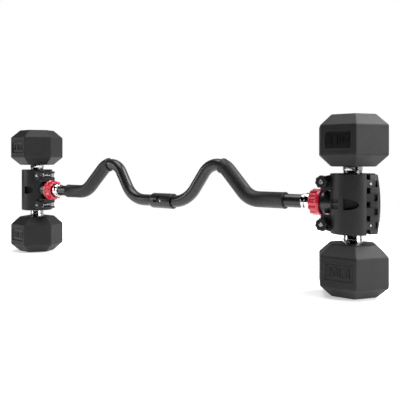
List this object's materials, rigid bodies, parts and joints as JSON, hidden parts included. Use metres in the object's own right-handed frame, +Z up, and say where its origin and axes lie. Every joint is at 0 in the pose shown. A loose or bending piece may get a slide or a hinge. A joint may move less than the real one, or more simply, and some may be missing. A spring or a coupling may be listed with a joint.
{
  "type": "dumbbell curl bar set",
  "caption": "Curl barbell made of hexagonal rubber dumbbells held on end by hinged clamps, joined by an M-shaped bar that comes apart at the middle.",
  "frame": {"origin": "on the surface the dumbbells stand on, under the middle of the bar", "axes": "+X along the bar to the right, +Z up along the dumbbell handles, -Y the side with the knobs"},
  "size_m": [0.8811, 0.1054, 0.275],
  "materials": {
    "rubber": "matte charcoal, fine moulded grain",
    "iron": "as cast",
    "chrome": "polished",
    "steel": "zinc plated",
    "nylon": "satin moulded black",
    "liner": "matte black",
    "red": "glossy red",
    "paint": "satin black powder coat",
    "grip": "matte soft grip"
  },
  "bodies": {
    "bar_left": {"left_bar": "paint", "left_grip": "grip", "coupling": "paint", "left_neck": "chrome", "left_neck_ring": "chrome"},
    "bar_right": {"right_bar": "paint", "right_grip": "grip", "coupling_pin": "steel", "right_neck": "chrome", "right_neck_ring": "chrome"},
    "left_clamp": {"left_rear_shell": "nylon", "left_rear_liner": "liner", "left_socket": "paint", "left_hinge_pin": "steel", "left_lower_pivot_pin": "steel", "left_upper_pivot_pin": "steel"},
    "left_door": {"left_front_shell": "nylon", "left_front_liner": "liner", "left_lower_hinge_screw": "steel", "left_upper_hinge_screw": "steel"},
    "left_collar": {"left_collar": "red"},
    "left_dumbbell": {"left_handle": "chrome", "left_bottom_head_rubber": "rubber", "left_bottom_head_core": "iron", "left_top_head_rubber": "rubber", "left_top_head_core": "iron"},
    "left_lower_bolt": {"left_lower_swing_bolt": "chrome"},
    "left_lower_washer": {"left_lower_washer": "steel"},
    "left_lower_knob": {"left_lower_knob": "nylon"},
    "left_upper_bolt": {"left_upper_swing_bolt": "chrome"},
    "left_upper_washer": {"left_upper_washer": "steel"},
    "left_upper_knob": {"left_upper_knob": "nylon"},
    "right_clamp": {"right_rear_shell": "nylon", "right_rear_liner": "liner", "right_socket": "paint", "right_hinge_pin": "steel", "right_lower_pivot_pin": "steel", "right_upper_pivot_pin": "steel"},
    "right_door": {"right_front_shell": "nylon", "right_front_liner": "liner", "right_lower_hinge_screw": "steel", "right_upper_hinge_screw": "steel"},
    "right_collar": {"right_collar": "red"},
    "right_dumbbell": {"right_handle": "chrome", "right_bottom_head_rubber": "rubber", "right_bottom_head_core": "iron", "right_top_head_rubber": "rubber", "right_top_head_core": "iron"},
    "right_lower_bolt": {"right_lower_swing_bolt": "chrome"},
    "right_lower_washer": {"right_lower_washer": "steel"},
    "right_lower_knob": {"right_lower_knob": "nylon"},
    "right_upper_bolt": {"right_upper_swing_bolt": "chrome"},
    "right_upper_washer": {"right_upper_washer": "steel"},
    "right_upper_knob": {"right_upper_knob": "nylon"}
  },
  "joints": [
    {"name": "bar_pull", "type": "slide", "parent": "bar_left", "child": "bar_right", "axis": [1, 0, 0], "range_m": [0, 0.06]},
    {"name": "left_swivel", "type": "hinge", "parent": "bar_left", "child": "left_clamp", "pos_m": [-0.383, 0, 0.1395], "axis": [1, 0, 0], "continuous": true},
    {"name": "left_collar_spin", "type": "hinge", "parent": "left_clamp", "child": "left_collar", "pos_m": [-0.3255, 0, 0.1395], "axis": [1, 0, 0], "continuous": true},
    {"name": "left_door_hinge", "type": "hinge", "parent": "left_clamp", "child": "left_door", "pos_m": [-0.4178, 0, 0.1395], "axis": [0, 0, -1], "range_deg": [0, 90]},
    {"name": "left_dumbbell_turn", "type": "hinge", "parent": "left_clamp", "child": "left_dumbbell", "pos_m": [-0.383, 0, 0.1395], "axis": [0, 0, 1], "continuous": true},
    {"name": "left_lower_bolt_swing", "type": "hinge", "parent": "left_clamp", "child": "left_lower_bolt", "pos_m": [-0.3444, 0.009, 0.1067], "axis": [0, 0, 1], "range_deg": [0, 100]},
    {"name": "left_lower_washer_slide", "type": "slide", "parent": "left_lower_bolt", "child": "left_lower_washer", "axis": [0, -1, 0], "range_m": [0, 0.132]},
    {"name": "left_lower_knob_spin", "type": "hinge", "parent": "left_lower_washer", "child": "left_lower_knob", "pos_m": [-0.3444, -0.0183, 0.1067], "axis": [0, -1, 0], "continuous": true},
    {"name": "left_upper_bolt_swing", "type": "hinge", "parent": "left_clamp", "child": "left_upper_bolt", "pos_m": [-0.3444, 0.009, 0.1723], "axis": [0, 0, 1], "range_deg": [0, 100]},
    {"name": "left_upper_washer_slide", "type": "slide", "parent": "left_upper_bolt", "child": "left_upper_washer", "axis": [0, -1, 0], "range_m": [0, 0.132]},
    {"name": "left_upper_knob_spin", "type": "hinge", "parent": "left_upper_washer", "child": "left_upper_knob", "pos_m": [-0.3444, -0.0183, 0.1723], "axis": [0, -1, 0], "continuous": true},
    {"name": "right_swivel", "type": "hinge", "parent": "bar_right", "child": "right_clamp", "pos_m": [0.383, 0, 0.1395], "axis": [1, 0, 0], "continuous": true},
    {"name": "right_collar_spin", "type": "hinge", "parent": "right_clamp", "child": "right_collar", "pos_m": [0.3255, 0, 0.1395], "axis": [1, 0, 0], "continuous": true},
    {"name": "right_door_hinge", "type": "hinge", "parent": "right_clamp", "child": "right_door", "pos_m": [0.4178, 0, 0.1395], "axis": [0, 0, 1], "range_deg": [0, 90]},
    {"name": "right_dumbbell_turn", "type": "hinge", "parent": "right_clamp", "child": "right_dumbbell", "pos_m": [0.383, 0, 0.1395], "axis": [0, 0, 1], "continuous": true},
    {"name": "right_lower_bolt_swing", "type": "hinge", "parent": "right_clamp", "child": "right_lower_bolt", "pos_m": [0.3444, 0.009, 0.1067], "axis": [0, 0, -1], "range_deg": [0, 100]},
    {"name": "right_lower_washer_slide", "type": "slide", "parent": "right_lower_bolt", "child": "right_lower_washer", "axis": [0, -1, 0], "range_m": [0, 0.132]},
    {"name": "right_lower_knob_spin", "type": "hinge", "parent": "right_lower_washer", "child": "right_lower_knob", "pos_m": [0.3444, -0.0183, 0.1067], "axis": [0, -1, 0], "continuous": true},
    {"name": "right_upper_bolt_swing", "type": "hinge", "parent": "right_clamp", "child": "right_upper_bolt", "pos_m": [0.3444, 0.009, 0.1723], "axis": [0, 0, -1], "range_deg": [0, 100]},
    {"name": "right_upper_washer_slide", "type": "slide", "parent": "right_upper_bolt", "child": "right_upper_washer", "axis": [0, -1, 0], "range_m": [0, 0.132]},
    {"name": "right_upper_knob_spin", "type": "hinge", "parent": "right_upper_washer", "child": "right_upper_knob", "pos_m": [0.3444, -0.0183, 0.1723], "axis": [0, -1, 0], "continuous": true}
  ],
  "couplings": [
    {"joint": "left_lower_washer_slide", "follows": "left_door_hinge", "m_per_rad": 0.084},
    {"joint": "left_upper_washer_slide", "follows": "left_door_hinge", "m_per_rad": 0.084},
    {"joint": "right_lower_washer_slide", "follows": "right_door_hinge", "m_per_rad": 0.084},
    {"joint": "right_upper_washer_slide", "follows": "right_door_hinge", "m_per_rad": 0.084}
  ]
}
